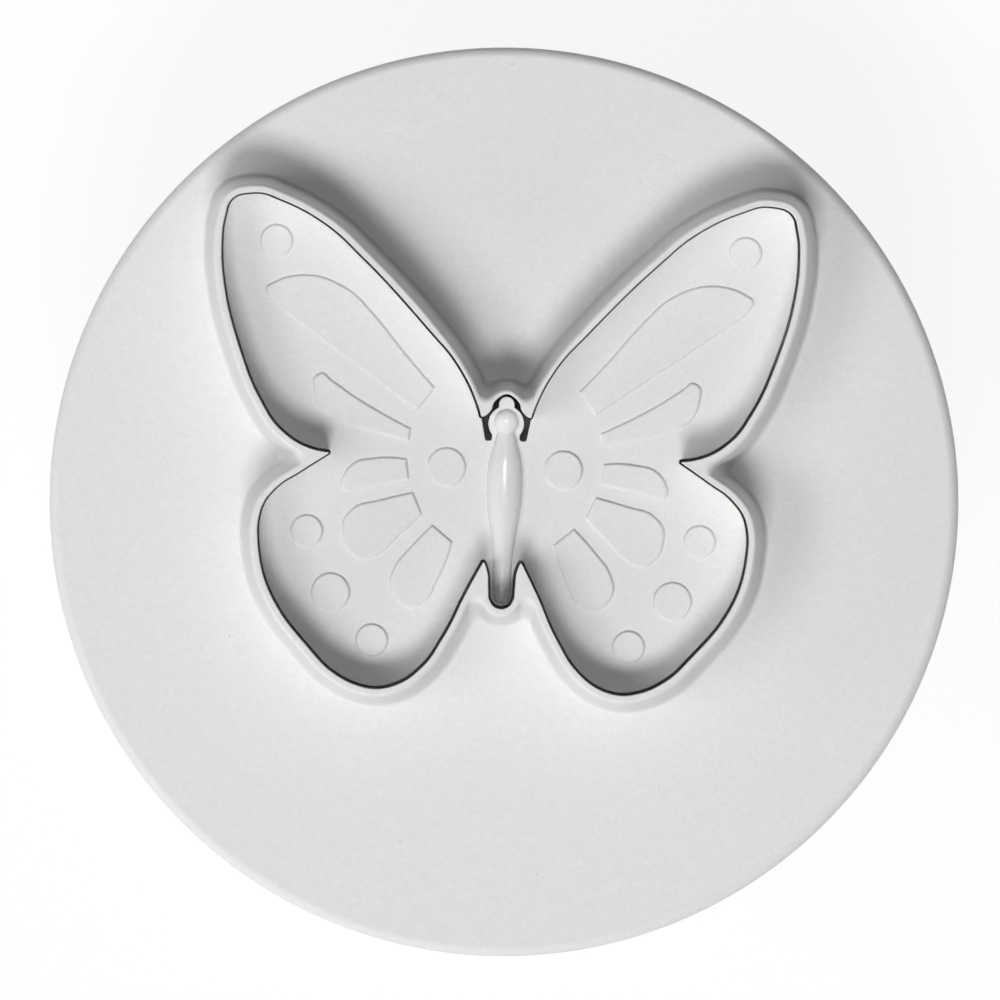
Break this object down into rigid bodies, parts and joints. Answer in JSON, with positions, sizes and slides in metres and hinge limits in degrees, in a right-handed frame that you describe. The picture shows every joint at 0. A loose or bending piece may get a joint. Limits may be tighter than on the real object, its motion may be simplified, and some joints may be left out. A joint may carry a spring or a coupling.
{
  "type": "plunger cutter",
  "caption": "Plunger cutter for sugar paste: a round press disc with a butterfly cutting wall, a sprung embossing plate inside the wall, and a push knob behind.",
  "frame": {"origin": "on the stem's axis, in the plane of the push knob's standing face", "axes": "+Z from the push knob to the cutting edge, +Y from the butterfly's tail to its head, +X to its right wings as seen from the cutting edge"},
  "size_m": [0.0896, 0.0896, 0.0497],
  "materials": {
    "white_plastic": "satin moulded",
    "spring_wire": "drawn wire"
  },
  "bodies": {
    "cutter": {"cutter_body": "white_plastic", "return_spring": "spring_wire"},
    "plunger": {"embosser_plunger": "white_plastic", "push_knob": "white_plastic"}
  },
  "joints": [
    {"name": "plunger_slide", "type": "slide", "parent": "cutter", "child": "plunger", "axis": [0, 0, 1], "range_m": [0, 0.006], "stiffness_N_per_m": 1100, "springref_m": -0.004, "deforming": ["return_spring"]}
  ]
}
